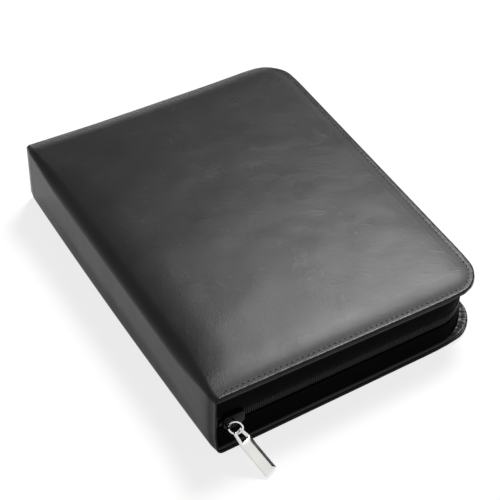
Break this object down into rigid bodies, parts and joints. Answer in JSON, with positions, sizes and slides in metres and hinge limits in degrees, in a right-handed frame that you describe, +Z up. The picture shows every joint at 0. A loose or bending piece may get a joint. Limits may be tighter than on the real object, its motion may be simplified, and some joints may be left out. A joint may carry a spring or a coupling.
{
  "type": "fountain pen case",
  "caption": "Book-style zip-around pen case with padded leather covers, a cloth gusset with a coil zip on three sides, and elastic pen loops inside.",
  "frame": {"origin": "centre of the back cover's flat underside, on the table", "axes": "+X from the spine to the fore-edge, +Y along the spine from tail to head, +Z up through the closed case"},
  "size_m": [0.1805, 0.2583, 0.0438],
  "materials": {
    "leather": "smooth black calf with a very fine grain, satin",
    "foam": "thin padding, hidden",
    "board": "stiff board, hidden",
    "lining": "fine black cloth",
    "gusset_cloth": "black woven cloth, matt",
    "zip_tape": "black woven zip tape",
    "zip_coil": "black nylon coil",
    "zip_stop": "black",
    "panel_cloth": "short black velvet",
    "elastic": "black ribbed elastic",
    "divider_cloth": "short black velvet over padding",
    "binding": "black ribbed tape",
    "slider_metal": "satin black",
    "bright_metal": "polished nickel",
    "thread": "black sewing thread"
  },
  "bodies": {
    "back_cover": {"back_leather": "leather", "back_foam": "foam", "back_board": "board", "back_lining": "lining", "back_gusset": "gusset_cloth", "back_gusset_lining": "lining", "back_zip_tape": "zip_tape", "back_zip_coil": "zip_coil", "back_zip_stops": "zip_stop", "back_pen_panel": "panel_cloth", "back_pen_loops": "elastic"},
    "spine": {"spine_leather": "leather", "spine_board": "board", "spine_lining": "lining", "divider_anchor": "binding"},
    "front_cover": {"front_leather": "leather", "front_foam": "foam", "front_board": "board", "front_lining": "lining", "front_gusset": "gusset_cloth", "front_gusset_lining": "lining", "front_zip_tape": "zip_tape", "front_zip_coil": "zip_coil", "front_zip_stop": "zip_stop", "front_pen_panel": "panel_cloth", "front_pen_loops": "elastic"},
    "divider": {"divider_leaf": "divider_cloth", "divider_binding": "binding"},
    "slider": {"slider_body": "slider_metal", "slider_bail": "slider_metal"},
    "ring": {"pull_ring": "bright_metal"},
    "tag": {"pull_tag": "bright_metal"}
  },
  "joints": [
    {"name": "spine_hinge", "type": "hinge", "parent": "back_cover", "child": "spine", "pos_m": [-0.08866, 0, 0.00132], "axis": [0, -1, 0], "range_deg": [0, 90.9]},
    {"name": "cover_hinge", "type": "hinge", "parent": "spine", "child": "front_cover", "pos_m": [-0.08797, 0, 0.04263], "axis": [0, -1, 0], "range_deg": [0, 90.9]},
    {"name": "divider_turn", "type": "hinge", "parent": "spine", "child": "divider", "pos_m": [-0.08173, 0, 0.02186], "axis": [0, -1, 0], "range_deg": [0, 45.5]},
    {"name": "zip_slide", "type": "slide", "parent": "back_cover", "child": "slider", "axis": [0.9999, 0, -0.0167], "range_m": [0, 0.13]},
    {"name": "ring_swing", "type": "hinge", "parent": "slider", "child": "ring", "pos_m": [-0.08112, -0.11695, 0.02185], "axis": [0, 0, 1], "range_deg": [-100, 20]},
    {"name": "tag_swing", "type": "hinge", "parent": "ring", "child": "tag", "pos_m": [-0.07804, -0.12111, 0.01694], "axis": [-0.8314, 0.4151, -0.3694], "range_deg": [0, 100]}
  ],
  "couplings": [
    {"joint": "divider_turn", "follows": "cover_hinge", "ratio": 0.5}
  ]
}
